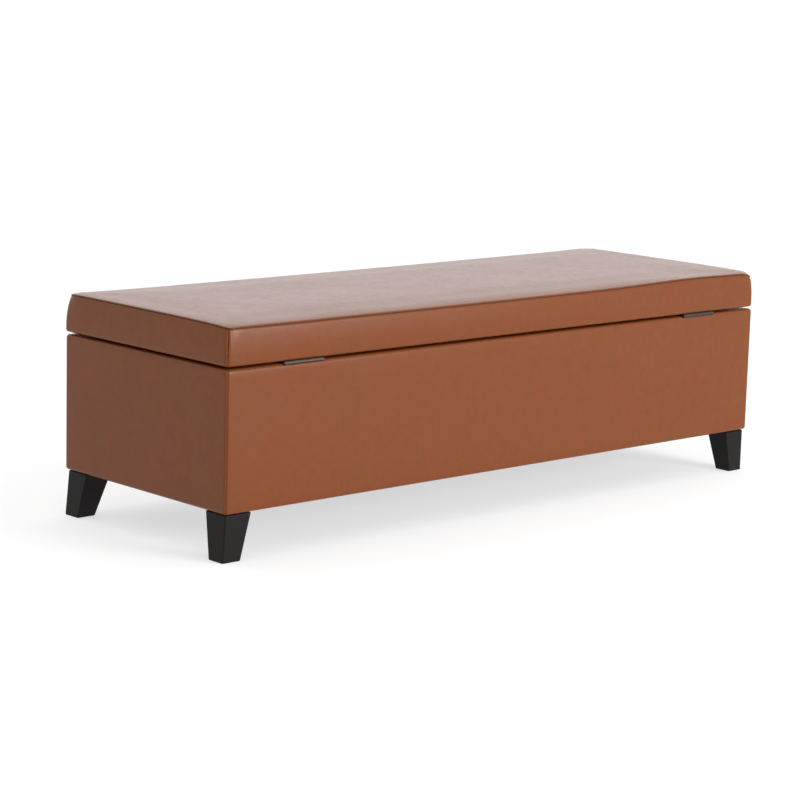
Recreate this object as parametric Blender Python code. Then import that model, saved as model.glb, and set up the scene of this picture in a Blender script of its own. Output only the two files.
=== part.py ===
"""Upholstered storage bench: a boarded pine box on four tapered legs, with a padded lid hinged at the rear.

Metres, +Z up. The origin is on the floor under the middle of the bench. +X is the right-hand end seen from
the front, -Y is the front, and the lid's hinges are on the +Y side, the rear.
"""

import math

import bmesh
import bpy
from mathutils import Matrix, Vector

# Driving dimensions
BODY_LENGTH = 1.300
BODY_DEPTH = 0.450
BODY_UNDERSIDE = 0.081
BODY_TOP = 0.320
LID_UNDERSIDE = 0.324
LID_SEAM_HEIGHT = 0.386
LID_CROWN = 0.007
HALF_X = BODY_LENGTH / 2
HALF_Y = BODY_DEPTH / 2

GAP = 0.0003  # clearance between neighbouring pieces
LEATHER = 0.0015
PADDING = 0.006
PANEL = 0.012
RAIL = 0.028
LINING = 0.0010
LINING_CORNER = 0.003
LID_LINING = 0.0007

LID_CROWN_RISE = LID_CROWN - LEATHER - GAP  # from the edge of the top panel to its middle
# The top panel's crown: distance in from its edge, and share of the whole rise
CROWN_PROFILE = (
    (0.0, 0.0), (0.003, 0.30), (0.008, 0.54), (0.018, 0.74), (0.040, 0.88), (0.090, 0.97), (0.160, 1.0),
)

# How far inside the leather's outer face each layer of the wall lies
PADDING_IN = LEATHER + GAP
PANEL_IN = PADDING_IN + PADDING + GAP
RAIL_IN = PANEL_IN + PANEL + GAP
LINING_IN = RAIL_IN + RAIL + GAP
CAVITY_IN = LINING_IN + LEATHER

FRAME_BOTTOM = BODY_UNDERSIDE + LEATHER + GAP
FRAME_TOP = BODY_TOP - LEATHER - GAP
TOP_RAIL_HEIGHT = 0.045
BOTTOM_RAIL_HEIGHT = 0.020
CENTRE_RAIL = 0.040
FLOOR_BOARD = 0.009
FLOOR_BOARD_BOTTOM = FRAME_BOTTOM + BOTTOM_RAIL_HEIGHT + GAP
FLOOR_LINING_BOTTOM = FLOOR_BOARD_BOTTOM + FLOOR_BOARD + GAP
RIM_FLAP_DEPTH = 0.020  # the leather turned down inside the rim
UNDER_FLAP = 0.018  # the leather turned under the box
COVER_EDGE = 0.002  # rounding of the leather's outer edges
CORNER_RADIUS = 0.008
SMALLEST_RADIUS = 0.0006
INNER_CORNER_RADIUS = 0.003
ARC_STEPS = 5

LEG_TOP = 0.050
LEG_FOOT = 0.035
LEG_IN = 0.005
LEG_EDGE = 0.0025
DUST_COVER = 0.0006
DUST_COVER_IN = 0.012
BOLT_IN = 0.033  # bolt axis from the two outer faces
BOLT_RADIUS = 0.004
BOLT_IN_LEG = 0.026
BOLT_IN_POST = 0.016
INSERT_RADIUS = 0.006
INSERT_LENGTH = 0.018

LID_BOARD = 0.015
LID_BOARD_IN = 0.0065
LID_FLAP = 0.030  # the lid's leather turned under the board
LID_CORNER_RADIUS = 0.010
LID_LINING_IN = 0.028
LID_EDGE = 0.005  # the leather rounds the lid's lower edge
LID_BULGE = 0.002  # how far the soft side stands proud at mid-height

HINGE_Y = HALF_Y - 0.002
HINGE_Z = 0.3205
HINGE_CENTRES = {"right": 0.490, "left": -0.490}
HINGE_LENGTH = 0.084
KNUCKLES = 5
KNUCKLE_RADIUS = 0.004
HINGE_PIN_RADIUS = 0.002
LEAF = 0.0012
LEAF_REACH = 0.024
LEAF_NOTCH = 0.0046  # the flat of a leaf stops this far from the pin's axis
HINGE_HEAD = 0.0009
HINGE_HEAD_RADIUS = 0.0030
HINGE_END_ROOM = 0.0015  # between each end of a hinge and the leather cut away round it

STAY_RADIUS = 0.110  # both stay pivots are this far from the hinge axis
STAY_PIVOT_DROP = 0.010
STAY_OPENING = math.radians(12.0)  # angle between the two pivots, seen from the hinge, lid shut
LID_RANGE = math.radians(95.0)
STAY_PLATE = 0.0015
STAY_ARM_WIDTH = 0.014
STAY_SLOT_HALF = 0.0029
STAY_PIN_RADIUS = 0.0025
STAY_HEAD_RADIUS = 0.005
STAY_HEAD = 0.0015
STAY_COLLAR = 0.003  # the pin's collar holds the arm this far from the wall plate
WALL_PLATE_HALF = (0.020, 0.0115)
BRACKET_WEB_HALF = 0.009
BRACKET_FLANGE = 0.024
BRACKET_FLANGE_HALF = 0.018
RIVET_RADIUS = 0.002
RIVET_HEAD_RADIUS = 0.004
RIVET_HEAD = 0.0012
ROUND_STEPS = 20

MITRE = math.radians(45)


def clear_scene():
    for obj in list(bpy.data.objects):
        bpy.data.objects.remove(obj)


def material(name, colour, roughness, metallic=0.0):
    made = bpy.data.materials.new(name)
    made.use_nodes = True
    shader = made.node_tree.nodes["Principled BSDF"]
    shader.inputs["Base Color"].default_value = (*colour, 1.0)
    shader.inputs["Roughness"].default_value = roughness
    shader.inputs["Metallic"].default_value = metallic
    made.diffuse_color = (*colour, 1.0)
    return made


def add_object(name, mesh_builder, finish, smooth=False):
    """Links one named object made from a bmesh, with its faces turned outwards."""
    bmesh.ops.recalc_face_normals(mesh_builder, faces=mesh_builder.faces)
    mesh = bpy.data.meshes.new(name)
    mesh_builder.to_mesh(mesh)
    mesh_builder.free()
    mesh.materials.append(finish)
    if smooth:
        mesh.shade_smooth()
        mesh.set_sharp_from_angle(angle=math.radians(35))
    obj = bpy.data.objects.new(name, mesh)
    bpy.context.scene.collection.objects.link(obj)
    return obj


def add_box(name, low, high, finish, edge=0.0):
    """A block between two corners, its edges eased by a bevel if edge is given."""
    centre = (Vector(low) + Vector(high)) / 2
    size = Vector(high) - Vector(low)
    builder = bmesh.new()
    bmesh.ops.create_cube(builder, size=1.0, matrix=Matrix.Diagonal((*size, 1.0)))
    obj = add_object(name, builder, finish)
    obj.location = centre
    if edge:
        ease_edges(obj, edge, 1)
    return obj


def ease_edges(obj, width, segments):
    bevel = obj.modifiers.new("eased edges", "BEVEL")
    bevel.width = width
    bevel.segments = segments
    bevel.limit_method = "ANGLE"


def add_extrusion(name, outline, thickness, finish):
    """A flat outline in the local XY plane, extruded upwards by thickness."""
    builder = bmesh.new()
    face = builder.faces.new([builder.verts.new((x, y, 0.0)) for x, y in outline])
    raised = bmesh.ops.extrude_face_region(builder, geom=[face])["geom"]
    verts = [item for item in raised if isinstance(item, bmesh.types.BMVert)]
    bmesh.ops.translate(builder, verts=verts, vec=(0.0, 0.0, thickness))
    return add_object(name, builder, finish)


def add_turned(name, profile, finish):
    """A round piece spun about the local X axis from (x, radius) points, closed on the axis."""
    builder = bmesh.new()
    path = [(profile[0][0], 0.0), *profile, (profile[-1][0], 0.0)]
    verts = [builder.verts.new((x, 0.0, radius)) for x, radius in path]
    edges = [builder.edges.new(pair) for pair in zip(verts, verts[1:])]
    bmesh.ops.spin(
        builder, geom=verts + edges, cent=(0, 0, 0), axis=(1, 0, 0),
        angle=math.tau, steps=ROUND_STEPS, use_merge=False,
    )
    bmesh.ops.remove_doubles(builder, verts=builder.verts, dist=1e-6)
    return add_object(name, builder, finish, smooth=True)


def cut(obj, cutter):
    """Takes the cutter's shape out of obj, and hides the cutter."""
    boolean = obj.modifiers.new("cut by " + cutter.name, "BOOLEAN")
    boolean.operation = "DIFFERENCE"
    boolean.object = cutter
    hide_helper(cutter)


def unite(obj, other):
    boolean = obj.modifiers.new("joined to " + other.name, "BOOLEAN")
    boolean.operation = "UNION"
    boolean.object = other
    hide_helper(other)


def hide_helper(obj):
    obj.hide_render = True
    obj.display_type = "WIRE"


def corner_arc(half_x, half_y, radius, inset, quarter, start, stop, smallest=SMALLEST_RADIUS):
    """Points round one corner of a rounded rectangle, inset from its edge, between two angles."""
    rounded = max(radius - inset, smallest)
    turn = quarter * math.pi / 2
    sign_x = 1 if quarter in (0, 3) else -1
    sign_y = 1 if quarter in (0, 1) else -1
    centre = Vector((sign_x * (half_x - inset - rounded), sign_y * (half_y - inset - rounded)))
    angles = [turn + start + (stop - start) * step / ARC_STEPS for step in range(ARC_STEPS + 1)]
    return [centre + rounded * Vector((math.cos(a), math.sin(a))) for a in angles]


def rounded_loop(half_x, half_y, radius, inset):
    """A whole rounded rectangle, anticlockwise from the +X side."""
    loop = []
    for quarter in range(4):
        loop += corner_arc(half_x, half_y, radius, inset, quarter, 0.0, math.pi / 2)
    return loop


def add_ring(name, section, radius, finish, half_x=HALF_X, half_y=HALF_Y):
    """A closed section of (inset, z) points swept right round the bench."""
    builder = bmesh.new()
    loops = []
    for inset, z in section:
        points = rounded_loop(half_x, half_y, radius, inset)
        loops.append([builder.verts.new((*point, z)) for point in points])
    count = len(loops[0])
    for lower, upper in zip(loops, loops[1:] + loops[:1]):
        for i in range(count):
            j = (i + 1) % count
            builder.faces.new((lower[i], lower[j], upper[j], upper[i]))
    return add_object(name, builder, finish, smooth=True)


def add_dome(name, profile, radius, finish):
    """A solid stacked from rounded rectangles at (inset, z), closed flat below and above."""
    builder = bmesh.new()
    loops = []
    for inset, z in profile:
        points = rounded_loop(HALF_X, HALF_Y, radius, inset)
        loops.append([builder.verts.new((*point, z)) for point in points])
    count = len(loops[0])
    for lower, upper in zip(loops, loops[1:]):
        for i in range(count):
            j = (i + 1) % count
            builder.faces.new((lower[i], lower[j], upper[j], upper[i]))
    builder.faces.new(loops[0])
    builder.faces.new(loops[-1])
    return add_object(name, builder, finish, smooth=True)


def add_sheet(name, upper, lower, finish):
    """A crowned sheet: upper and lower surfaces of (inset, z) loops, joined at the edge."""
    builder = bmesh.new()
    surfaces = []
    for profile in (upper, lower):
        loops = []
        for inset, z in profile:
            points = rounded_loop(HALF_X, HALF_Y, LID_CORNER_RADIUS, inset)
            loops.append([builder.verts.new((*point, z)) for point in points])
        surfaces.append(loops)
    count = len(surfaces[0][0])
    pairs = [*zip(surfaces[0], surfaces[0][1:]), *zip(surfaces[1], surfaces[1][1:])]
    pairs.append((surfaces[0][0], surfaces[1][0]))
    for one, other in pairs:
        for i in range(count):
            j = (i + 1) % count
            builder.faces.new((one[i], one[j], other[j], other[i]))
    for loops in surfaces:
        builder.faces.new(loops[-1])
    return add_object(name, builder, finish, smooth=True)


def add_cover_side(name, section, side, finish):
    """One leather side: the section swept from the middle of one rounded corner to the next."""
    builder = bmesh.new()
    rows = []
    for inset, z in section:
        corner = (HALF_X, HALF_Y, CORNER_RADIUS, inset)
        first = corner_arc(*corner, side, MITRE, math.pi / 2, INNER_CORNER_RADIUS)
        last = corner_arc(*corner, (side + 1) % 4, 0.0, MITRE, INNER_CORNER_RADIUS)
        along = (last[-1] - first[0]).normalized() * GAP
        points = [first[0] + along, *first[1:], *last[:-1], last[-1] - along]
        rows.append([builder.verts.new((*point, z)) for point in points])
    for lower, upper in zip(rows, rows[1:] + rows[:1]):
        for i in range(len(lower) - 1):
            builder.faces.new((lower[i], lower[i + 1], upper[i + 1], upper[i]))
    builder.faces.new([row[0] for row in rows])
    builder.faces.new([row[-1] for row in rows])
    return add_object(name, builder, finish, smooth=True)


def corners():
    """Name and signs of each corner of the bench."""
    for side_x, sign_x in (("left", -1), ("right", 1)):
        for side_y, sign_y in (("front", -1), ("rear", 1)):
            yield f"{side_y}_{side_x}", sign_x, sign_y


def between(sign, near, far):
    """The two distances from the middle as a low and a high coordinate on one side of it."""
    return sorted((sign * near, sign * far))


def build_frame(pine):
    """Pine posts in the corners, with rails between them at the top and the bottom."""
    rail_out_x = HALF_X - RAIL_IN
    rail_out_y = HALF_Y - RAIL_IN
    rail_in_x = rail_out_x - RAIL
    rail_in_y = rail_out_y - RAIL
    top_rail_z = FRAME_TOP - TOP_RAIL_HEIGHT
    posts = {}
    for name, sign_x, sign_y in corners():
        x = between(sign_x, rail_in_x, rail_out_x)
        y = between(sign_y, rail_in_y, rail_out_y)
        low = (x[0], y[0], FRAME_BOTTOM)
        high = (x[1], y[1], top_rail_z - GAP)
        posts[name] = add_box(f"corner_post_{name}", low, high, pine)
    levels = (
        ("top", top_rail_z, FRAME_TOP, rail_out_x),
        ("bottom", FRAME_BOTTOM, FRAME_BOTTOM + BOTTOM_RAIL_HEIGHT, rail_in_x - GAP),
    )
    for level, low_z, high_z, reach_x in levels:
        for side, sign in (("front", -1), ("rear", 1)):
            y = between(sign, rail_in_y, rail_out_y)
            add_box(f"{level}_rail_{side}", (-reach_x, y[0], low_z), (reach_x, y[1], high_z), pine)
        for side, sign in (("left", -1), ("right", 1)):
            x = between(sign, rail_in_x, rail_out_x)
            reach_y = rail_in_y - GAP
            add_box(f"{level}_rail_{side}", (x[0], -reach_y, low_z), (x[1], reach_y, high_z), pine)
    half_width = CENTRE_RAIL / 2
    reach_y = rail_in_y - GAP
    add_box(
        "centre_rail",
        (-half_width, -reach_y, FRAME_BOTTOM),
        (half_width, reach_y, FRAME_BOTTOM + BOTTOM_RAIL_HEIGHT),
        pine,
    )
    return posts


def build_panels(board):
    """Four fibreboard sides outside the frame, and a floor notched round the posts."""
    out_x = HALF_X - PANEL_IN
    out_y = HALF_Y - PANEL_IN
    for side, sign in (("front", -1), ("rear", 1)):
        y = between(sign, out_y - PANEL, out_y)
        add_box(f"panel_{side}", (-out_x, y[0], FRAME_BOTTOM), (out_x, y[1], FRAME_TOP), board)
    reach_y = out_y - PANEL - GAP
    for side, sign in (("left", -1), ("right", 1)):
        x = between(sign, out_x - PANEL, out_x)
        add_box(f"panel_{side}", (x[0], -reach_y, FRAME_BOTTOM), (x[1], reach_y, FRAME_TOP), board)
    edge_x = HALF_X - RAIL_IN
    edge_y = HALF_Y - RAIL_IN
    notch = RAIL + GAP
    outline = []
    for sign_x, sign_y in ((1, 1), (-1, 1), (-1, -1), (1, -1)):
        step = [
            (sign_x * edge_x, sign_y * (edge_y - notch)),
            (sign_x * (edge_x - notch), sign_y * (edge_y - notch)),
            (sign_x * (edge_x - notch), sign_y * edge_y),
        ]
        outline += step if sign_x == sign_y else step[::-1]
    floor = add_extrusion("floor_board", outline, FLOOR_BOARD, board)
    floor.location.z = FLOOR_BOARD_BOTTOM


def build_body_upholstery(leather, foam):
    """Thin foam round the panels, and four sewn leather sides turned over the rim and under the box."""
    low, high = FRAME_BOTTOM, FRAME_TOP
    padding_out = PADDING_IN + PADDING
    rectangle = [(PADDING_IN, low), (PADDING_IN, high), (padding_out, high), (padding_out, low)]
    padding = add_ring("body_padding", rectangle, CORNER_RADIUS, foam)
    flap_bottom = BODY_TOP - RIM_FLAP_DEPTH
    section = [
        (UNDER_FLAP, BODY_UNDERSIDE),
        (COVER_EDGE, BODY_UNDERSIDE),
        (0.0, BODY_UNDERSIDE + COVER_EDGE),
        (0.0, BODY_TOP - COVER_EDGE),
        (COVER_EDGE, BODY_TOP),
        (CAVITY_IN, BODY_TOP),
        (CAVITY_IN, flap_bottom),
        (LINING_IN, flap_bottom),
        (LINING_IN, BODY_TOP - LEATHER),
        (LEATHER, BODY_TOP - LEATHER),
        (LEATHER, BODY_UNDERSIDE + LEATHER),
        (UNDER_FLAP, BODY_UNDERSIDE + LEATHER),
    ]
    sides = ("rear", "left", "front", "right")
    covers = {side: add_cover_side(f"cover_{side}", section, i, leather) for i, side in enumerate(sides)}
    for side, centre in HINGE_CENTRES.items():
        reach = HINGE_LENGTH / 2 + HINGE_END_ROOM
        room = KNUCKLE_RADIUS + GAP
        recess = add_box(
            f"hinge_recess_{side}",
            (centre - reach, HINGE_Y - room, HINGE_Z - room),
            (centre + reach, HALF_Y + room, BODY_TOP + room),
            leather,
        )
        cut(covers["rear"], recess)
        cut(padding, recess)


def build_lining(nonwoven):
    """Black non-woven cloth: the inside walls, the inside floor, and the dust cover below."""
    floor_in = LINING_IN
    add_box(
        "lining_floor",
        (floor_in - HALF_X, floor_in - HALF_Y, FLOOR_LINING_BOTTOM),
        (HALF_X - floor_in, HALF_Y - floor_in, FLOOR_LINING_BOTTOM + LINING),
        nonwoven,
    )
    low = FLOOR_LINING_BOTTOM + LINING + GAP
    high = BODY_TOP - RIM_FLAP_DEPTH - GAP
    inner = LINING_IN + LINING
    rectangle = [(LINING_IN, low), (LINING_IN, high), (inner, high), (inner, low)]
    add_ring("lining_walls", rectangle, LINING_IN + LINING_CORNER, nonwoven)
    top = BODY_UNDERSIDE - GAP
    edge_in = DUST_COVER_IN
    dust_cover = add_box(
        "dust_cover",
        (edge_in - HALF_X, edge_in - HALF_Y, top - DUST_COVER),
        (HALF_X - edge_in, HALF_Y - edge_in, top),
        nonwoven,
    )
    return dust_cover


def upright_cylinder(name, x, y, low, high, radius, finish):
    obj = add_turned(name, [(low, radius), (high, radius)], finish)
    obj.rotation_euler = (0.0, -math.pi / 2, 0.0)
    obj.location = (x, y, 0.0)
    return obj


def build_legs(black_wood, steel, posts, dust_cover):
    """Tapered legs, each on a bolt that screws into a threaded insert in its corner post."""
    top = BODY_UNDERSIDE - GAP - DUST_COVER - GAP
    for name, sign_x, sign_y in corners():
        builder = bmesh.new()
        outer_x = HALF_X - LEG_IN
        outer_y = HALF_Y - LEG_IN
        rings = []
        for z, width in ((0.0, LEG_FOOT), (top, LEG_TOP)):
            square = [(0, 0), (width, 0), (width, width), (0, width)]
            rings.append([
                builder.verts.new((sign_x * (outer_x - dx), sign_y * (outer_y - dy), z))
                for dx, dy in square
            ])
        for i in range(4):
            j = (i + 1) % 4
            builder.faces.new((rings[0][i], rings[0][j], rings[1][j], rings[1][i]))
        builder.faces.new(rings[0])
        builder.faces.new(rings[1])
        leg = add_object(f"leg_{name}", builder, black_wood)
        ease_edges(leg, LEG_EDGE, 2)
        x = sign_x * (HALF_X - BOLT_IN)
        y = sign_y * (HALF_Y - BOLT_IN)
        room = BOLT_RADIUS + GAP
        bolt_low = top - BOLT_IN_LEG
        bolt_high = FRAME_BOTTOM + BOLT_IN_POST
        hole = upright_cylinder(f"leg_hole_{name}", x, y, bolt_low - GAP, top + 0.01, room, steel)
        cut(leg, hole)
        cloth_hole = upright_cylinder(f"cloth_hole_{name}", x, y, top - 0.01, FRAME_BOTTOM, room, steel)
        cut(dust_cover, cloth_hole)
        upright_cylinder(f"leg_bolt_{name}", x, y, bolt_low, bolt_high, BOLT_RADIUS, steel)
        insert = upright_cylinder(
            f"leg_insert_{name}", x, y, FRAME_BOTTOM, FRAME_BOTTOM + INSERT_LENGTH, INSERT_RADIUS, steel
        )
        thread = upright_cylinder(f"insert_thread_{name}", x, y, top, bolt_high + 0.01, room, steel)
        cut(insert, thread)
        pocket = upright_cylinder(
            f"post_pocket_{name}", x, y, top, FRAME_BOTTOM + INSERT_LENGTH + GAP, INSERT_RADIUS + GAP, steel
        )
        cut(posts[name], pocket)


def build_lid(leather, foam, board, nonwoven):
    """A board with a foam pad, in a boxed leather cover: a border all round and a crowned top panel."""
    low = LID_UNDERSIDE
    seam = LID_SEAM_HEIGHT
    edge = LID_EDGE
    bulge = LID_BULGE
    middle = (low + seam) / 2
    quarter = (seam - low) / 4
    outer = [
        (LID_FLAP, low),
        (edge, low),
        (0.3 * edge, low + 0.24 * edge),
        (0.0, low + 0.9 * edge),
        (-0.7 * bulge, middle - quarter),
        (-bulge, middle),
        (-0.7 * bulge, middle + quarter),
        (0.4 * bulge, seam),
    ]
    inner = [
        (0.4 * bulge + LEATHER, seam),
        (LEATHER - 0.7 * bulge, middle + quarter),
        (LEATHER - bulge, middle),
        (LEATHER - 0.7 * bulge, middle - quarter),
        (LEATHER, low + edge),
        (edge, low + LEATHER),
        (LID_FLAP, low + LEATHER),
    ]
    add_ring("lid_border", outer + inner, LID_CORNER_RADIUS, leather)

    board_low = low + LEATHER + GAP
    board_high = board_low + LID_BOARD
    add_dome(
        "lid_board", [(LID_BOARD_IN, board_low), (LID_BOARD_IN, board_high)], LID_CORNER_RADIUS, board
    )
    edge_in = 0.4 * bulge
    panel_low = seam + GAP
    upper = [(edge_in + d, panel_low + LEATHER + LID_CROWN_RISE * share) for d, share in CROWN_PROFILE]
    lower = [(edge_in + d, z - LEATHER) for (d, _), (_, z) in zip(CROWN_PROFILE, upper)]
    add_sheet("lid_top_panel", upper, lower, leather)
    side_in = LEATHER + GAP + 0.001
    pad = [
        (side_in + 0.002, board_high + GAP),
        (side_in - 0.001, middle),
        (side_in + edge_in, seam - 0.003),
    ]
    pad += [(max(d, side_in + edge_in + 0.001), z - GAP) for d, z in lower[1:]]
    add_dome("lid_foam", pad, LID_CORNER_RADIUS, foam)
    lining_top = low - GAP
    add_box(
        "lid_lining",
        (LID_LINING_IN - HALF_X, LID_LINING_IN - HALF_Y, lining_top - LID_LINING),
        (HALF_X - LID_LINING_IN, HALF_Y - LID_LINING_IN, lining_top),
        nonwoven,
    )


def hinge_leaf(name, centre, knuckles, low_z, high_z, steel):
    """A leaf with its share of the knuckles, all drilled for the pin."""
    low_x = centre - HINGE_LENGTH / 2
    leaf = add_box(
        name,
        (low_x, HINGE_Y - LEAF_REACH, low_z),
        (low_x + HINGE_LENGTH, HINGE_Y - LEAF_NOTCH, high_z),
        steel,
    )
    pitch = HINGE_LENGTH / KNUCKLES
    for k in knuckles:
        start = low_x + k * pitch + GAP / 2
        stop = start + pitch - GAP
        tab = add_box(
            f"{name}_tab_{k}",
            (start, HINGE_Y - LEAF_NOTCH - 0.001, low_z),
            (stop, HINGE_Y - 0.0005, high_z),
            steel,
        )
        unite(leaf, tab)
        barrel = add_turned(f"{name}_knuckle_{k}", [(start, KNUCKLE_RADIUS), (stop, KNUCKLE_RADIUS)], steel)
        barrel.location = (0.0, HINGE_Y, HINGE_Z)
        unite(leaf, barrel)
    bore_radius = HINGE_PIN_RADIUS + GAP
    bore = add_turned(
        f"{name}_bore",
        [(low_x - 0.01, bore_radius), (low_x + HINGE_LENGTH + 0.01, bore_radius)],
        steel,
    )
    bore.location = (0.0, HINGE_Y, HINGE_Z)
    cut(leaf, bore)
    return leaf


def build_hinges(steel):
    """Two butt hinges: one leaf on the rear rim, one under the lid, and a headed pin."""
    for side, centre in HINGE_CENTRES.items():
        rim_low = BODY_TOP + GAP
        hinge_leaf(f"hinge_{side}_body_leaf", centre, (0, 2, 4), rim_low, rim_low + LEAF, steel)
        lid_high = LID_UNDERSIDE - GAP
        hinge_leaf(f"hinge_{side}_lid_leaf", centre, (1, 3), lid_high - LEAF, lid_high, steel)
        half = HINGE_LENGTH / 2
        head = HINGE_HEAD
        head_radius = HINGE_HEAD_RADIUS
        profile = [
            (centre - half - GAP - head, head_radius),
            (centre - half - GAP, head_radius),
            (centre - half - GAP, HINGE_PIN_RADIUS),
            (centre + half + GAP, HINGE_PIN_RADIUS),
            (centre + half + GAP, head_radius),
            (centre + half + GAP + head, head_radius),
        ]
        pin = add_turned(f"hinge_{side}_pin", profile, steel)
        pin.location = (0.0, HINGE_Y, HINGE_Z)


def slot_outline(start, stop, radius):
    """A slot or a round-ended bar along local X, between two end centres."""
    steps = 8
    outline = []
    for centre, turn in ((stop, -math.pi / 2), (start, math.pi / 2)):
        for k in range(steps + 1):
            angle = turn + math.pi * k / steps
            outline.append((centre + radius * math.cos(angle), radius * math.sin(angle)))
    return outline


def build_stays(black_steel, steel):
    """A slotted lid stay inside each end. Both of its pivots are equally far from the hinge axis, so the
    arm turns half as fast as the lid and its slot runs along the fixed pin from end to end."""
    lid_angle = math.pi + math.asin(STAY_PIVOT_DROP / STAY_RADIUS)
    body_angle = lid_angle + STAY_OPENING
    lid_pivot = Vector((math.cos(lid_angle), math.sin(lid_angle))) * STAY_RADIUS
    body_pivot = Vector((math.cos(body_angle), math.sin(body_angle))) * STAY_RADIUS
    hinge = Vector((HINGE_Y, HINGE_Z))
    lid_pivot += hinge
    body_pivot += hinge
    shut = (body_pivot - lid_pivot).length
    opened = 2 * STAY_RADIUS * math.sin((STAY_OPENING + LID_RANGE) / 2)
    along = body_pivot - lid_pivot
    arm_turn = math.atan2(along.y, along.x)
    wall = HALF_X - CAVITY_IN
    plate_x = wall - STAY_PLATE - GAP
    arm_x = plate_x - GAP - STAY_COLLAR - GAP - STAY_PLATE
    bracket_x = arm_x - GAP - STAY_PLATE
    for side, sign in (("right", 1), ("left", -1)):
        arm_outline = slot_outline(0.0, opened, STAY_ARM_WIDTH / 2)
        arm = add_extrusion(f"stay_{side}_arm", arm_outline, STAY_PLATE, black_steel)
        slot = add_extrusion(
            f"stay_{side}_slot", slot_outline(shut, opened, STAY_SLOT_HALF), 3 * STAY_PLATE, steel
        )
        hole = add_extrusion(
            f"stay_{side}_hole", slot_outline(-1e-5, 1e-5, RIVET_RADIUS + GAP), 3 * STAY_PLATE, steel
        )
        # Local X runs along the arm and local Z along the bench
        stand = Matrix(((0, 0, 1), (1, 0, 0), (0, 1, 0))).to_4x4()
        turn = Matrix.Rotation(arm_turn, 4, "X")
        low_x = arm_x if sign > 0 else -arm_x - STAY_PLATE
        place = Matrix.Translation((low_x, *lid_pivot)) @ turn @ stand
        arm.matrix_world = place
        back_off = Matrix.Translation((-STAY_PLATE, 0, 0))
        slot.matrix_world = back_off @ place
        hole.matrix_world = back_off @ place
        cut(arm, slot)
        cut(arm, hole)

        half_plate_y, half_plate_z = WALL_PLATE_HALF
        x = between(sign, plate_x, plate_x + STAY_PLATE)
        plate = add_box(
            f"stay_{side}_wall_plate",
            (x[0], body_pivot.x - half_plate_y, body_pivot.y - half_plate_z),
            (x[1], body_pivot.x + half_plate_y, body_pivot.y + half_plate_z),
            black_steel,
        )
        plate_hole = add_turned(
            f"stay_{side}_plate_hole",
            [(x[0] - 0.01, STAY_PIN_RADIUS + GAP), (x[1] + 0.01, STAY_PIN_RADIUS + GAP)],
            steel,
        )
        plate_hole.location = (0.0, *body_pivot)
        cut(plate, plate_hole)
        pin_profile = [
            (plate_x + STAY_PLATE, STAY_PIN_RADIUS),
            (plate_x - GAP, STAY_PIN_RADIUS),
            (plate_x - GAP, STAY_HEAD_RADIUS),
            (arm_x + STAY_PLATE + GAP, STAY_HEAD_RADIUS),
            (arm_x + STAY_PLATE + GAP, STAY_PIN_RADIUS),
            (arm_x - GAP, STAY_PIN_RADIUS),
            (arm_x - GAP, STAY_HEAD_RADIUS),
            (arm_x - GAP - STAY_HEAD, STAY_HEAD_RADIUS),
        ]
        pin = add_turned(f"stay_{side}_pin", [(sign * px, r) for px, r in pin_profile], steel)
        pin.location = (0.0, *body_pivot)

        build_stay_bracket(side, sign, bracket_x, lid_pivot, black_steel)
        head = RIVET_HEAD
        rivet_profile = [
            (bracket_x - GAP - head, RIVET_HEAD_RADIUS),
            (bracket_x - GAP, RIVET_HEAD_RADIUS),
            (bracket_x - GAP, RIVET_RADIUS),
            (arm_x + STAY_PLATE + GAP, RIVET_RADIUS),
            (arm_x + STAY_PLATE + GAP, RIVET_HEAD_RADIUS),
            (arm_x + STAY_PLATE + GAP + head, RIVET_HEAD_RADIUS),
        ]
        rivet = add_turned(f"stay_{side}_rivet", [(sign * px, r) for px, r in rivet_profile], steel)
        rivet.location = (0.0, *lid_pivot)


def build_stay_bracket(side, sign, bracket_x, lid_pivot, black_steel):
    """An angle bracket: its flange screws up into the lid, and its web hangs down to the arm's rivet."""
    half_web = BRACKET_WEB_HALF
    flange_high = LID_UNDERSIDE - GAP - LID_LINING - GAP
    flange_low = flange_high - STAY_PLATE
    half_flange = BRACKET_FLANGE_HALF
    outer = bracket_x + STAY_PLATE
    x = between(sign, bracket_x, outer)
    web = add_box(
        f"stay_{side}_bracket",
        (x[0], lid_pivot.x - half_web, lid_pivot.y - half_web),
        (x[1], lid_pivot.x + half_web, flange_high),
        black_steel,
    )
    x = between(sign, outer - BRACKET_FLANGE, outer)
    flange = add_box(
        f"stay_{side}_flange",
        (x[0], lid_pivot.x - half_flange, flange_low),
        (x[1], lid_pivot.x + half_flange, flange_high),
        black_steel,
    )
    unite(web, flange)
    x = between(sign, bracket_x - 0.01, outer + 0.01)
    hole = add_turned(
        f"stay_{side}_web_hole", [(x[0], RIVET_RADIUS + GAP), (x[1], RIVET_RADIUS + GAP)], black_steel
    )
    hole.location = (0.0, *lid_pivot)
    cut(web, hole)


def main():
    clear_scene()
    leather = material("tan leather", (0.300, 0.100, 0.045), 0.42)
    foam = material("foam", (0.80, 0.76, 0.62), 0.95)
    pine = material("pine", (0.62, 0.44, 0.26), 0.70)
    board = material("fibreboard", (0.42, 0.29, 0.18), 0.80)
    nonwoven = material("black non-woven cloth", (0.020, 0.020, 0.022), 0.95)
    black_wood = material("black-stained wood", (0.018, 0.016, 0.015), 0.40)
    steel = material("zinc-plated steel", (0.55, 0.54, 0.53), 0.35, 1.0)
    black_steel = material("black-painted steel", (0.03, 0.03, 0.03), 0.45, 0.2)

    posts = build_frame(pine)
    build_panels(board)
    build_body_upholstery(leather, foam)
    dust_cover = build_lining(nonwoven)
    build_legs(black_wood, steel, posts, dust_cover)
    build_lid(leather, foam, board, nonwoven)
    build_hinges(steel)
    build_stays(black_steel, steel)


main()
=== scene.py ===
import math

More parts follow.
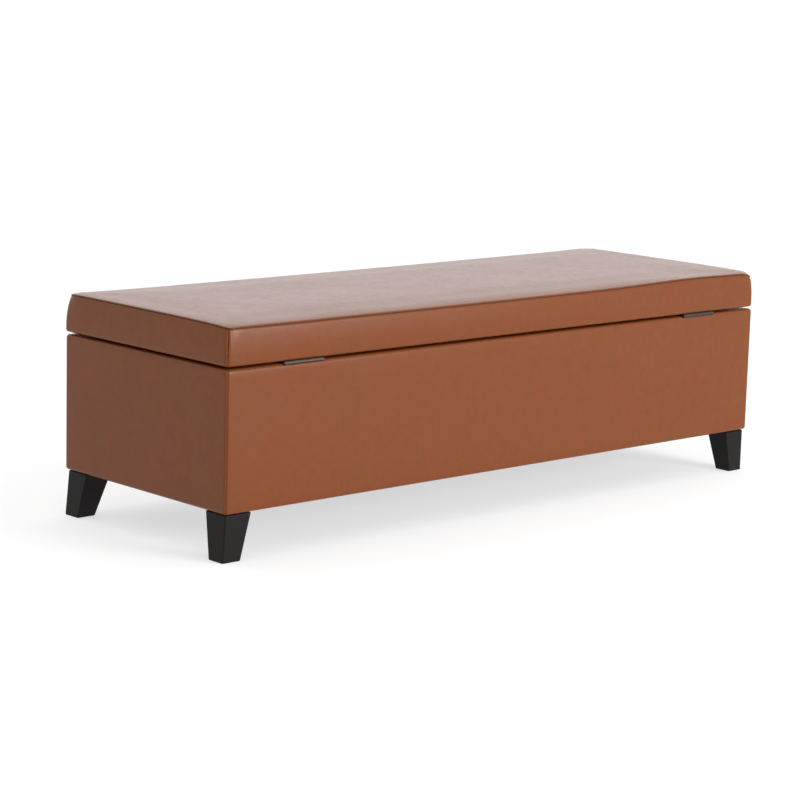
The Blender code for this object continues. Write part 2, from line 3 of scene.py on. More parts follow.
import bmesh
import bpy
import numpy as np
from mathutils import Matrix, Vector, noise
from mathutils.bvhtree import BVHTree


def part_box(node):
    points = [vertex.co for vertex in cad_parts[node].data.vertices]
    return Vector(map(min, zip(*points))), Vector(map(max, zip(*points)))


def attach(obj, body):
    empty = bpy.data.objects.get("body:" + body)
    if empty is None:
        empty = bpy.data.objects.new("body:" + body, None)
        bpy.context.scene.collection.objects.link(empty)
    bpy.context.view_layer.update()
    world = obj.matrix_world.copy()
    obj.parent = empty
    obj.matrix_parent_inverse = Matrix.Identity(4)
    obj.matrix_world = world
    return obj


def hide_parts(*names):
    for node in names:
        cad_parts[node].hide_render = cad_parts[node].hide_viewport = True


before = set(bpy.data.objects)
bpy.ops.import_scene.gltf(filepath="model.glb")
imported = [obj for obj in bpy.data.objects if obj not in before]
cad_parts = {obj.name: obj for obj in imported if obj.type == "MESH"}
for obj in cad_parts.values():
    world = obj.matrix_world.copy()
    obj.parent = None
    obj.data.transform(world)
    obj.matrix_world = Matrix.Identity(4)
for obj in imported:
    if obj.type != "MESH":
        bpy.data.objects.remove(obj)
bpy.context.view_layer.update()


# ----------------------------------------------------------------------------
# Pine frame: four corner posts, rails between them at the top and the bottom, and a centre rail
# under the floor. Softwood, sawn, planed and glued. It is inside, so it keeps its plain blocks.
# ----------------------------------------------------------------------------

def linear(code):
    """An sRGB hex colour as the linear RGBA that a shader takes."""
    channels = [int(code[i:i + 2], 16) / 255 for i in (1, 3, 5)]
    return (*(c / 12.92 if c <= 0.04045 else ((c + 0.055) / 1.055) ** 2.4 for c in channels), 1.0)


def add_node(tree, kind, settings=None, links=None):
    """Adds a shader node. Settings are its properties or inputs' values; links feed its inputs."""
    made = tree.nodes.new("ShaderNode" + kind)
    for key, value in (settings or {}).items():
        if isinstance(key, str) and hasattr(made, key):
            setattr(made, key, value)
        else:
            made.inputs[key].default_value = value
    for key, socket in (links or {}).items():
        tree.links.new(socket, made.inputs[key])
    return made


def two_tones(tree, first, second, share):
    """The colour that lies between two hex colours by the given share."""
    tones = {"data_type": "RGBA", 6: linear(first), 7: linear(second)}
    return add_node(tree, "Mix", tones, {0: share}).outputs[2]


def speckle(tree, place, size, detail, **more):
    """Smooth noise whose patches are about size metres across."""
    settings = {"Scale": 1 / size, "Detail": detail, **{k.title(): v for k, v in more.items()}}
    return add_node(tree, "TexNoise", settings, {"Vector": place}).outputs["Fac"]


def between(tree, low, high, share):
    """The number that lies between two others by the given share."""
    settings = {"To Min": low, "To Max": high}
    return add_node(tree, "MapRange", settings, {"Value": share}).outputs["Result"]


def bump(tree, strength, depth, height, over=None):
    """A normal roughened by a height pattern, on top of another one if that is given."""
    links = {"Height": height} if over is None else {"Height": height, "Normal": over}
    settings = {"Strength": strength, "Distance": depth}
    return add_node(tree, "Bump", settings, links).outputs["Normal"]


def wire(tree, shader, sources):
    """Feeds the shader's named inputs."""
    for name, socket in sources.items():
        tree.links.new(socket, shader.inputs[name])


def new_material(name, **constants):
    """A material, its constants set; gives back its tree, shader and place in metres too."""
    made = bpy.data.materials.new(name)
    made.use_nodes = True
    tree = made.node_tree
    shader = tree.nodes["Principled BSDF"]
    for key, value in constants.items():
        shader.inputs[key.replace("_", " ").title()].default_value = value
    place = add_node(tree, "TexCoord").outputs["Object"]
    return made, tree, shader, place


def finish_nodes(prefix, material):
    """Gives a material to every CAD node whose name starts with prefix."""
    for name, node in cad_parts.items():
        if name.startswith(prefix):
            node.data.materials.clear()
            node.data.materials.append(material)
            for polygon in node.data.polygons:
                polygon.material_index = 0


# Planed pine: growth rings, drawn out along X, give pale and honey stripes. Real ones are about
# 4 mm apart, and these are drawn coarser so that they show.
RING_SPACING = 0.02513
WAVE_LENGTH = math.tau / 20  # of the wave texture at a scale of 1
ALONG_THE_GRAIN = 0.05  # how much slower the pattern changes along the timber than across it
pine, tree, shader, place = new_material("planed pine", roughness=0.62)
along = add_node(tree, "Mapping", {"Scale": (ALONG_THE_GRAIN, 1.0, 1.0)}, {"Vector": place})
rings = add_node(
    tree, "TexWave",
    {
        "wave_type": "RINGS", "rings_direction": "X", "Scale": WAVE_LENGTH / RING_SPACING,
        "Distortion": 3.0, "Detail": 3.0,
    },
    {"Vector": along.outputs["Vector"]},
)
grain = two_tones(tree, "#d9b988", "#b98a55", rings.outputs["Fac"])
wire(tree, shader, {"Base Color": grain})
relief = bump(tree, 0.3, 0.0002, rings.outputs["Fac"])
wire(tree, shader, {"Normal": relief})
for part in ("corner_post", "top_rail", "bottom_rail", "centre_rail"):
    finish_nodes(part, pine)


# ----------------------------------------------------------------------------
# Boards: four side panels, the floor board and the lid's board. Medium-density fibreboard, sawn
# to size and stapled on. Its pressed fibres give a flat brown with fine darker flecks.
# ----------------------------------------------------------------------------

FLECK = 0.0015
fibreboard, tree, shader, place = new_material("fibreboard, pressed", roughness=0.78)
flecks = speckle(tree, place, FLECK, 4.0)
fibre = two_tones(tree, "#a98661", "#8a6843", flecks)
wire(tree, shader, {"Base Color": fibre})
relief = bump(tree, 0.4, 0.0001, flecks)
wire(tree, shader, {"Normal": relief})
for part in ("panel_", "floor_board", "lid_board"):
    finish_nodes(part, fibreboard)


# ----------------------------------------------------------------------------
# Leg hardware: a hanger bolt up from each leg and the threaded insert that it screws into.
# Steel, zinc-plated: a grey, slightly uneven shine.
# ----------------------------------------------------------------------------

PLATING_BLOOM = 0.006
zinc, tree, shader, place = new_material("steel, zinc-plated", metallic=1.0)
bloom = speckle(tree, place, PLATING_BLOOM, 3.0)
plate = two_tones(tree, "#8f8d8e", "#6c6a6b", bloom)
dull = between(tree, 0.28, 0.46, bloom)
wire(tree, shader, {"Base Color": plate, "Roughness": dull})
for part in ("leg_bolt", "leg_insert"):
    finish_nodes(part, zinc)


# ----------------------------------------------------------------------------
# Legs: four tapered square legs in beech, stained black and lacquered. The two inner faces slope,
# and the edges are sanded round. The two at the right end are a little wider and lean out.
# ----------------------------------------------------------------------------

def new_piece(name, vertices, faces, material, body):
    """A smooth-shaded mesh piece that rides on a body."""
    mesh = bpy.data.meshes.new(name)
    mesh.from_pydata([tuple(v) for v in vertices], [], faces)
    mesh.validate()
    mesh.materials.append(material)
    mesh.shade_smooth()
    piece = bpy.data.objects.new(name, mesh)
    bpy.context.scene.collection.objects.link(piece)
    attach(piece, body)
    return piece


def grid_faces(count, rows, flipped=False):
    """Quads joining the points of a grid that has rows of count points each."""
    quads = []
    for first in range(0, (rows - 1) * count, count):
        for a in range(first, first + count - 1):
            quad = (a, a + 1, a + count + 1, a + count)
            quads.append(quad[::-1] if flipped else quad)
    return quads


def apply_modifiers(piece):
    """Makes the piece's modifiers part of its mesh."""
    bpy.context.view_layer.update()
    evaluated = piece.evaluated_get(bpy.context.evaluated_depsgraph_get())
    solid = bpy.data.meshes.new_from_object(evaluated)
    piece.modifiers.clear()
    piece.data = solid


# Stained beech: fine dark fibres running up the leg, under a thin satin lacquer
FIBRE = 0.0009
black_wood, tree, shader, place = new_material(
    "beech, black-stained and lacquered", coat_weight=0.03, coat_roughness=0.3
)
shader.inputs["Specular IOR Level"].default_value = 0.11
stretched = add_node(tree, "Mapping", {"Scale": (1.0, 1.0, 0.06)}, {"Vector": place})
fibres = add_node(
    tree, "TexNoise", {"Scale": 1 / FIBRE, "Detail": 3.0, "Roughness": 0.6},
    {"Vector": stretched.outputs["Vector"]},
)
stain = two_tones(tree, "#0d0b0a", "#161312", fibres.outputs["Fac"])
lacquer = between(tree, 0.36, 0.52, fibres.outputs["Fac"])
relief = bump(tree, 0.25, 0.0001, fibres.outputs["Fac"])
wire(tree, shader, {"Base Color": stain, "Roughness": lacquer, "Normal": relief})

LEG_FOOT_SHARE = 0.70  # width of the foot, as a share of the top
LEG_EDGE = 0.0022
LEG_WIDER = {"left": 0.0, "right": 0.004}
LEG_LEAN = {  # how far the foot lies outside the top, along x and along y
    "front_left": (0.0, 0.0), "rear_left": (0.0, 0.0),
    "front_right": (0.0055, 0.003), "rear_right": (0.0055, 0.0),
}
for end in ("left", "right"):
    for side in ("front", "rear"):
        low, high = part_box(f"leg_{side}_{end}")
        sign_x = 1 if end == "right" else -1
        sign_y = 1 if side == "rear" else -1
        outer_x = high.x if sign_x > 0 else low.x
        outer_y = high.y if sign_y > 0 else low.y
        top_width = high.x - low.x + LEG_WIDER[end]
        lean_x, lean_y = LEG_LEAN[f"{side}_{end}"]
        vertices = []
        for z, width, out in ((low.z, LEG_FOOT_SHARE * top_width, 1.0), (high.z, top_width, 0.0)):
            for along_x, along_y in ((0, 0), (1, 0), (1, 1), (0, 1)):
                vertices.append((
                    outer_x + sign_x * (out * lean_x - along_x * width),
                    outer_y + sign_y * (out * lean_y - along_y * width), z,
                ))
        faces = [(0, 1, 2, 3), (4, 7, 6, 5)]
        faces += [(i, i + 4, (i + 1) % 4 + 4, (i + 1) % 4) for i in range(4)]
        leg = new_piece(f"tapered_leg_{side}_{end}", vertices, faces, black_wood, "base")
        builder = bmesh.new()
        builder.from_mesh(leg.data)
        bmesh.ops.recalc_face_normals(builder, faces=builder.faces)
        builder.to_mesh(leg.data)
        builder.free()
        bevel = leg.modifiers.new("sanded edges", "BEVEL")
        bevel.width = LEG_EDGE
        bevel.segments = 4
        bevel.limit_method = "ANGLE"
        bevel.harden_normals = True
        apply_modifiers(leg)
        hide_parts(f"leg_{side}_{end}")


# ----------------------------------------------------------------------------
# Body upholstery: four sides in polyurethane faux leather over thin foam. Each is pulled over the
# rim and under the box, and sewn to its neighbours by a plain seam down the rounded corner.
# ----------------------------------------------------------------------------

# Faux leather, embossed and printed: a fine pebble grain with painted shade darkening its valleys,
# a cloudy two-tone tan, and a satin topcoat that turns pale where light skims along it. The pores
# are drawn at 0.5 mm, though real ones are finer, so that they show.
PEBBLE = 0.0013
PORE = 0.0005
CLOUD = 0.110
MARBLING = 0.015
leather, tree, shader, place = new_material("faux leather, embossed")
shader.inputs["IOR"].default_value = 1.46
shader.inputs["Specular IOR Level"].default_value = 0.23
cloud = speckle(tree, place, CLOUD, 2.0, roughness=0.5)
marbling = speckle(tree, place, MARBLING, 5.0, roughness=0.62, distortion=0.4)
pebbles = add_node(
    tree, "TexVoronoi", {"feature": "DISTANCE_TO_EDGE", "Scale": 1 / PEBBLE, "Randomness": 0.9},
    {"Vector": place},
)
valleys = add_node(
    tree, "MapRange", {"From Max": 0.28, "interpolation_type": "SMOOTHSTEP"},
    {"Value": pebbles.outputs["Distance"]},
)
pores = speckle(tree, place, PORE, 2.0)
spread = add_node(
    tree, "MapRange", {"From Min": 0.36, "From Max": 0.64, "interpolation_type": "SMOOTHSTEP"},
    {"Value": cloud},
)
warmth = two_tones(tree, "#6f3713", "#6c3914", spread.outputs["Result"])
veins = add_node(
    tree, "MapRange", {"From Min": 0.42, "From Max": 0.70, "To Max": 0.42}, {"Value": marbling}
)
marbled = add_node(
    tree, "Mix", {"data_type": "RGBA", 7: linear("#5e3013")},
    {0: veins.outputs["Result"], 6: warmth},
)
# Painted shade: the pebbles' valleys are darkened towards a deep brown, by up to 0.30, as the
# grain's hollows would be shaded
sunk = between(tree, 0.30, 0.0, valleys.outputs["Result"])
tone_with_painted_valley_shade = add_node(
    tree, "Mix", {"data_type": "RGBA", 7: linear("#4e260f")}, {0: sunk, 6: marbled.outputs[2]}
)
topcoat = between(tree, 0.26, 0.38, marbling)
coarse = bump(tree, 0.22, 0.0003, marbling)
embossed = bump(tree, 0.35, 0.00008, valleys.outputs["Result"], coarse)
fine = bump(tree, 0.2, 0.00004, pores, embossed)
wire(tree, shader, {"Base Color": tone_with_painted_valley_shade.outputs[2], "Roughness": topcoat, "Normal": fine})

LEATHER = 0.0009
SEAM_ALLOWANCE = 0.004
SEAM_DEPTH = 0.0008  # how far the rolled edges dip into the seam
SEAM_REACH = 0.0026  # where the dip starts
SIDES = ("rear", "left", "front", "right")
OUTWARD = {
    "rear": Vector((0, 1, 0)), "left": Vector((-1, 0, 0)),
    "front": Vector((0, -1, 0)), "right": Vector((1, 0, 0)),
}


def arc(centre, radius, start, stop, steps):
    """Points along an arc, angles in degrees, anticlockwise if stop is the larger."""
    angles = [math.radians(start + (stop - start) * i / steps) for i in range(steps + 1)]
    return [(centre[0] + radius * math.cos(a), centre[1] + radius * math.sin(a)) for a in angles]


def spaced(start, stop, step):
    """Points evenly spaced from start to stop, both included."""
    return list(np.linspace(start, stop, max(2, round(abs(stop - start) / step) + 1)))


def side_columns(outline, side, spacing):
    """Stations along one side of a rounded outline (half x, half y, corner radius), from one corner
    seam to the next: the corner's number, the angle in it, the share along the straight part, and
    the distance to the nearer seam."""
    quarter = SIDES.index(side)
    half = outline[0] if side in ("rear", "front") else outline[1]
    arc_length = outline[2] * math.pi / 4
    fractions = [0.0, 0.06, 0.14, 0.24, 0.36, 0.50, 0.66, 0.82, 1.0]
    columns = [(quarter, math.pi / 4 * (1 + f), 0.0, f * arc_length) for f in fractions]
    straight = 2 * (half - outline[2])
    near = np.array([0.004, 0.009, 0.015])
    middle = np.array(spaced(0.022, straight - 0.022, spacing))
    for run in (*near, *middle, *(straight - near[::-1])):
        to_seam = arc_length + min(run, straight - run)
        columns.append((quarter, math.pi / 2, run / straight, to_seam))
    columns += [((quarter + 1) % 4, math.pi / 4 * f, 0.0, (1 - f) * arc_length) for f in fractions]
    return columns


LEAST_RADIUS = 0.0015  # the sharpest that a corner inside the outline gets


def corner_point(outline, quarter, angle, inset):
    """A point on a rounded corner of the outline, inset from it."""
    half_x, half_y, radius = outline
    rounded = max(radius - inset, LEAST_RADIUS)
    sign_x = 1 if quarter in (0, 3) else -1
    sign_y = 1 if quarter in (0, 1) else -1
    turned = quarter * math.pi / 2 + angle
    return Vector((
        sign_x * (half_x - inset - rounded) + rounded * math.cos(turned),
        sign_y * (half_y - inset - rounded) + rounded * math.sin(turned),
    ))


def sewn_side(outline, side, section, spacing, shape, seam_depth=SEAM_DEPTH):
    """The section of (inset, z) points carried along one side. Its ends dip into the corner seams
    and turn in by the seam allowance. shape(point, side, inset, to_seam) moves each visible
    point."""
    columns = side_columns(outline, side, spacing)
    quarter = SIDES.index(side)
    vertices = []
    for number, (inset, z) in enumerate(section):
        before, after = section[max(number - 1, 0)], section[min(number + 1, len(section) - 1)]
        into = Vector((after[1] - before[1], before[0] - after[0])).normalized()
        start = corner_point(outline, quarter, math.pi / 2, inset)
        stop = corner_point(outline, (quarter + 1) % 4, 0.0, inset)
        row = []
        for at, angle, share, to_seam in columns:
            dip = seam_depth * max(0.0, 1 - to_seam / SEAM_REACH) ** 2
            if share > 0:
                flat = start.lerp(stop, share)
            else:
                flat = corner_point(outline, at, angle, inset + dip * into.x)
            row.append(shape(Vector((*flat, z + dip * into.y)), side, inset, to_seam))
        inwards = into.x if inset > SEAM_ALLOWANCE else max(into.x, 0.0)
        tucked = []
        for at, edge in ((quarter, row[0]), ((quarter + 1) % 4, row[-1])):
            sewn = corner_point(outline, at, math.pi / 4, inset + seam_depth * inwards)
            folded_in = inset + (seam_depth + SEAM_ALLOWANCE) * inwards
            turned = corner_point(outline, at, math.pi / 4, folded_in)
            tucked.append(edge + Vector((*(turned - sewn), SEAM_ALLOWANCE * into.y)))
        vertices += [tucked[0], *row, tucked[1]]
    return vertices, grid_faces(len(columns) + 2, len(section))


def soft_waves(point, size, height, seed):
    """Smooth unevenness of hand-pulled upholstery: a height that changes over about size."""
    return height * noise.noise(point / size + Vector((seed, 0, 0)))


def thicken(piece, thickness):
    """Gives a sheet its thickness, inwards from the face that shows."""
    skin = piece.modifiers.new("thickness", "SOLIDIFY")
    skin.thickness = thickness
    skin.offset = -1
    apply_modifiers(piece)


BODY_CORNER = 0.0065
INNER_FLAP = 0.019  # how far the leather goes down inside the rim
UNDER_FLAP = 0.0165  # and in under the box
EDGE_RADIUS = 0.006
RIM_RADIUS = 0.003
FULLNESS = 0.0006  # how far the padding pushes the middle of a side out
RIM_CROWN = 0.0003
STRAIGHT = 0.99  # an inset below this share of the edge's radius belongs to the upright face
TOUCH = 1e-4  # heights closer than this count as the same

body_low, body_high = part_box("cover_right")
body_outline = (body_high.x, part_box("cover_rear")[1].y, BODY_CORNER)
under, rim = body_low.z, body_high.z
cavity_in = body_high.x - body_low.x
body_section = [(UNDER_FLAP, under), (0.012, under)]
body_section += arc((EDGE_RADIUS, under + EDGE_RADIUS), EDGE_RADIUS, 270, 180, 6)
body_section += [(0.0, z) for z in spaced(under + EDGE_RADIUS, rim - EDGE_RADIUS, 0.008)[1:-1]]
body_section += arc((EDGE_RADIUS, rim - EDGE_RADIUS), EDGE_RADIUS, 180, 90, 6)
body_section += [(inset, rim) for inset in spaced(EDGE_RADIUS, cavity_in - RIM_RADIUS, 0.010)[1:-1]]
body_section += arc((cavity_in - RIM_RADIUS, rim - RIM_RADIUS), RIM_RADIUS, 90, 0, 4)
body_section += [(cavity_in, z) for z in spaced(rim - RIM_RADIUS, rim - INNER_FLAP, 0.005)[1:]]


def pulled_over_body(point, side, inset, to_seam):
    """The padding's fullness and the covering's unevenness. The rear rim stays flat for the
    hinges."""
    if inset > EDGE_RADIUS * STRAIGHT:
        if side == "rear" or point.z < rim - TOUCH or inset > cavity_in - RIM_RADIUS:
            return point
        across = (inset - EDGE_RADIUS) / (cavity_in - EDGE_RADIUS)
        return point + Vector((0, 0, RIM_CROWN * math.sin(math.pi * across)))
    up = (point.z - under) / (rim - under)
    middle = (1 - math.exp(-to_seam / 0.03)) * max(0.0, 1 - abs(2 * up - 1) ** 4)
    waves = soft_waves(point, 0.11, 0.0007, 3) + soft_waves(point, 0.035, 0.00025, 9)
    return point + OUTWARD[side] * (middle * (FULLNESS + waves))


for side in SIDES:
    vertices, faces = sewn_side(body_outline, side, body_section, 0.008, pulled_over_body)
    piece = new_piece(f"leather_{side}", vertices, faces, leather, "base")
    thicken(piece, LEATHER)
    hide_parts(f"cover_{side}")

# Foam wrap: 6 mm polyurethane foam glued round the panels, under the leather. Open cells, cream.
FOAM_CELL = 0.0011
foam, tree, shader, place = new_material("polyurethane foam, cut", roughness=0.95)
shader.inputs["Specular IOR Level"].default_value = 0.2
cells = add_node(tree, "TexVoronoi", {"Scale": 1 / FOAM_CELL}, {"Vector": place})
cream = two_tones(tree, "#b9a86f", "#e9ddb0", cells.outputs["Distance"])
relief = bump(tree, 0.6, 0.0004, cells.outputs["Distance"])
wire(tree, shader, {"Base Color": cream, "Normal": relief})


def closed_ring(outline, section, columns):
    """A closed section of (inset, z) points swept right round the outline."""
    vertices, faces = [], []
    for inset, z in section:
        for quarter, angle in columns:
            vertices.append(Vector((*corner_point(outline, quarter, angle, inset), z)))
    rows, count = len(section), len(columns)
    for r in range(rows):
        for c in range(count):
            a, b = r * count + c, r * count + (c + 1) % count
            above = (r + 1) % rows * count - r * count
            faces.append((a, b, b + above, a + above))
    return vertices, faces


quarter_turns = [(quarter, math.pi / 2 * i / 6) for quarter in range(4) for i in range(7)]
wrap_low, wrap_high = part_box("body_padding")
wrap_in = body_outline[0] - wrap_high.x
round_in = EDGE_RADIUS - wrap_in
wrap_section = [(wrap_in + round_in, wrap_low.z)]
wrap_section += arc((wrap_in + round_in, wrap_low.z + round_in), round_in, 270, 180, 5)[1:]
wrap_section += arc((wrap_in + round_in, wrap_high.z - round_in), round_in, 180, 90, 5)
wrap_heights = spaced(wrap_high.z - 0.002, wrap_low.z + 0.002, 0.05)
wrap_section += [(wrap_in + 0.0060, z) for z in wrap_heights]
vertices, faces = closed_ring(body_outline, wrap_section, quarter_turns)
piece = new_piece("body_foam_wrap", vertices, faces, foam, "base")
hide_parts("body_padding")


# ----------------------------------------------------------------------------
# Lid pad: a slab of polyurethane foam glued to the lid's board and wrapped in polyester wadding,
# which swells against the leather. The tight cover rounds its edges and crowns its top.
# ----------------------------------------------------------------------------

lid_low, lid_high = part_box("lid_border")
LID_BULGE = 0.002
LID_CORNER = 0.0085
lid_outline = (lid_high.x - LID_BULGE, lid_high.y - LID_BULGE, LID_CORNER)
seam_height = lid_high.z
foam_low, foam_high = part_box("lid_foam")

PAD_VOXEL = 0.007
PAD_IN = 0.004  # how far the pad starts inside the foam's outline
PAD_CORNER = 0.012
PAD_FRAMES = 20
PAD_PRESSURE = 4.0
PAD_STIFFNESS = 30.0
GLUE_LINE = 0.002  # points this close to the board stay put
PAD_CAP = 0.006  # the farthest that a point of the pad may swell


def swell_pad(piece, pinned_below):
    """Inflates a closed pad as cloth under pressure, its underside held, and keeps the result."""
    remesh = piece.modifiers.new("even weave", "REMESH")
    remesh.mode = "VOXEL"
    remesh.voxel_size = PAD_VOXEL
    apply_modifiers(piece)
    start = np.array([v.co for v in piece.data.vertices])
    held = piece.vertex_groups.new(name="glued to the board")
    held.add([i for i, co in enumerate(start) if co[2] < pinned_below], 1.0, "REPLACE")
    cloth = piece.modifiers.new("swelling", "CLOTH")
    cloth.settings.vertex_group_mass = held.name
    cloth.settings.use_pressure = True
    cloth.settings.uniform_pressure_force = PAD_PRESSURE
    cloth.settings.tension_stiffness = PAD_STIFFNESS
    cloth.settings.compression_stiffness = PAD_STIFFNESS
    cloth.settings.bending_stiffness = 4.0
    cloth.settings.effector_weights.gravity = 0.0
    cloth.point_cache.frame_start = 1
    cloth.point_cache.frame_end = PAD_FRAMES
    for step in range(1, PAD_FRAMES + 1):
        bpy.context.scene.frame_set(step)
    apply_modifiers(piece)
    bpy.context.scene.frame_set(1)
    moved = np.array([v.co for v in piece.data.vertices]) - start
    far = np.linalg.norm(moved, axis=1, keepdims=True)
    kept = start + moved * np.minimum(1.0, PAD_CAP / np.maximum(far, 1e-9))
    piece.data.vertices.foreach_set("co", kept.astype(np.float32).ravel())
    piece.data.update()


pad_outline = (foam_high.x, foam_high.y, PAD_CORNER)
pad_section = [  # inset and z, from the board up the side and in over the top
    (PAD_IN, foam_low.z), (PAD_IN, seam_height - 0.012), (PAD_IN + 0.004, seam_height - 0.007),
    (0.030, seam_height - 0.004), (0.090, seam_height - 0.002),
]
vertices, faces = [], []
for inset, z in pad_section:
    for quarter, angle in quarter_turns:
        vertices.append(Vector((*corner_point(pad_outline, quarter, angle, inset), z)))
count = len(quarter_turns)
for r in range(len(pad_section) - 1):
    for c in range(count):
        a, b = r * count + c, r * count + (c + 1) % count
        faces.append((a, b, b + count, a + count))
faces += [tuple(range(count))[::-1], tuple(range(len(vertices) - count, len(vertices)))]
lid_pad = new_piece("lid_pad", vertices, faces, foam, "lid")
swell_pad(lid_pad, foam_low.z + GLUE_LINE)
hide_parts("lid_foam")
pad_tree = BVHTree.FromPolygons(
    [v.co for v in lid_pad.data.vertices], [tuple(p.vertices) for p in lid_pad.data.polygons]
)


# ----------------------------------------------------------------------------
# Lid cover: a boxed cover in the same faux leather. A top panel is sewn to a four-piece border by
# a plain seam right round its edge, and the border is pulled under the board. It is fitted by
# hand, so the seam wanders by a millimetre or two, and the leather puckers at the corners.
# ----------------------------------------------------------------------------

LID_EDGE = 0.0045
FLAP_IN = lid_high.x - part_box("lid_lining")[1].x + 0.001
FLAP_SAG = 0.0026  # how far the turned-under leather hangs below its fold
HINGE_ROOM = 0.045  # and it doesn't hang this near the rear
SEAM_LIFT = 0.0018
SEAM_SAG = 0.0018
LEAN = 0.0028  # how far the front right corner leans, at its top and its bottom
border_low, border_top = lid_low.z, seam_height


def clamped(share):
    """The share, kept from 0 to 1."""
    return min(1.0, max(0.0, share))


def seam_rise(x, y):
    """How far the seam rides above its nominal height: it sags between the long sides' corners."""
    along = x / lid_outline[0]
    across = min(1.0, abs(y) / lid_outline[1])
    sag = SEAM_SAG * (1 - along * along) * across ** 4
    hump = 0.0045 * math.exp(-((x + 0.47) / 0.15) ** 2) * across ** 4 * (1 if y > 0 else 0)
    ends = 0.0030 * abs(along) ** 8 * (1 - across ** 3 * (1 if y > 0 else 0.2))
    return SEAM_LIFT + ends + hump - sag + 0.0004 * noise.noise(Vector((x / 0.16, y / 0.16, 5.0)))


def puckers(point, to_seam, to_corner):
    """Small gathers across a seam, strongest at a corner, dying out away from the seam."""
    strength = 0.00018 + 0.0015 * math.exp(-to_corner / 0.022)
    ridges = noise.noise(Vector((point.x / 0.011, point.y / 0.011, point.z / 0.05)))
    return strength * ridges * math.exp(-to_seam / 0.010) * min(1.0, to_seam / 0.0015)


def softened_corner(point):
    """Pulls the foam's upper corners in and down, where the leather is tightest. Each corner is a
    little different, and the front right one leans."""
    up = clamped((point.z - border_low) / (border_top - border_low))
    moved = point.copy()
    for sign_x, sign_y, drop, pull, reach in (
        (1, 1, 0.0008, 0.0016, 0.013), (-1, 1, 0.0066, 0.0022, 0.017),
        (-1, -1, 0.0035, 0.0020, 0.015), (1, -1, 0.0010, 0.0030, 0.016),
    ):
        away = math.hypot(point.x - sign_x * lid_outline[0], point.y - sign_y * lid_outline[1])
        if away > 4 * reach:
            continue
        share = math.exp(-((away / reach) ** 2)) * up ** 3
        moved += Vector((-sign_x * pull, -sign_y * pull, -drop)) * share
    lean = math.exp(-((point.y + lid_outline[1]) / 0.05) ** 2)
    lean *= max(0.0, point.x / lid_outline[0]) ** 4
    moved.y += lean * LEAN * (2 * up - 1)
    return moved


border_section = [(inset, border_low) for inset in spaced(FLAP_IN, LID_EDGE, 0.006)[:-1]]
border_section += arc((LID_EDGE, border_low + LID_EDGE), LID_EDGE, 270, 180, 6)
border_section += [(0.0, z) for z in spaced(border_low + LID_EDGE, border_top - 0.0048, 0.0035)[1:]]
border_section += [
    (0.0002, border_top - 0.0035), (0.0007, border_top - 0.0026), (0.0014, border_top - 0.0020),
    (0.0023, border_top - 0.0018), (0.0030, border_top - 0.0022), (0.0034, border_top - 0.0034),
    (0.0034, border_top - 0.0064),
]


def pulled_over_lid(point, side, inset, to_seam):
    """Follows the wandering seam, bulges at mid-height, and puckers near the corners."""
    up = (point.z - border_low) / (border_top - border_low)
    point = point.copy()
    rise = seam_rise(point.x, point.y) * max(0.0, up) ** 1.5
    if inset < LID_EDGE * STRAIGHT:
        swell = math.sin(math.pi * clamped(up))
        bulge = LID_BULGE * swell ** 0.8 * (0.55 + 0.45 * min(1, to_seam / 0.05))
        lean = 0.0010 * up ** 3
        waves = soft_waves(point, 0.09, 0.0006, 21) + soft_waves(point, 0.03, 0.0003, 27)
        to_top = max(0.0, border_top - point.z)
        crease = puckers(point, to_top, to_seam) + 0.5 * puckers(point, to_seam, to_seam)
        point += OUTWARD[side] * (bulge - lean + waves * swell + crease)
    elif point.z < border_low + TOUCH:
        ahead_of_hinges = clamped((lid_outline[1] - HINGE_ROOM - point.y) / 0.06)
        across = clamped((inset - LID_EDGE) / (FLAP_IN - LID_EDGE))
        point.z -= FLAP_SAG * ahead_of_hinges * math.sin(math.pi * across ** 0.6)
    point.z += rise
    return softened_corner(point)


vertices, faces = [], []
for side in SIDES:
    more, quads = sewn_side(lid_outline, side, border_section, 0.007, pulled_over_lid, 0.0004)
    faces += [tuple(i + len(vertices) for i in quad) for quad in quads]
    vertices += more
lid_border = new_piece("leather_border_of_lid", vertices, faces, leather, "lid")
thicken(lid_border, LEATHER)
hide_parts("lid_border")

# The top panel's edge rolls out over the seam, from the stitches outwards and up
NOMINAL = [0.0, 0.0006, 0.0013, 0.0022, 0.0034, 0.0050, 0.0075]
ROLL_INSET = [0.0031, 0.0021, 0.0015, 0.0017, 0.0027, 0.0047, 0.0075]
ROLL_RISE = [-0.0016, -0.0012, -0.0003, 0.0006, 0.0012, 0.0018, 0.0025]
WADDING = 0.0045  # polyester between the pad and the leather
PAD_FOLLOW = 0.35  # how closely the leather follows the pad's swelling
top_half_x, top_half_y, top_radius = lid_outline


def grid_stops(half):
    """Places across the top panel from edge to edge, close together near the seam."""
    near = [*NOMINAL, 0.0105, 0.0145, 0.0195, 0.0255]
    inner = spaced(-half + 0.033, half - 0.033, 0.0085)
    return [-half + d for d in near] + inner + [half - d for d in reversed(near)]


def crown(inset_x, inset_y):
    """Height of the top panel above its seam: a quick rise at the edge, then a long low crown."""
    blend = 0.006
    inset = -blend * math.log(math.exp(-inset_x / blend) + math.exp(-inset_y / blend))
    inset = max(0.0, min(inset, inset_x, inset_y))
    return 0.0012 * (1 - math.exp(-inset / 0.003)) + 0.0054 * (1 - math.exp(-inset / 0.035))


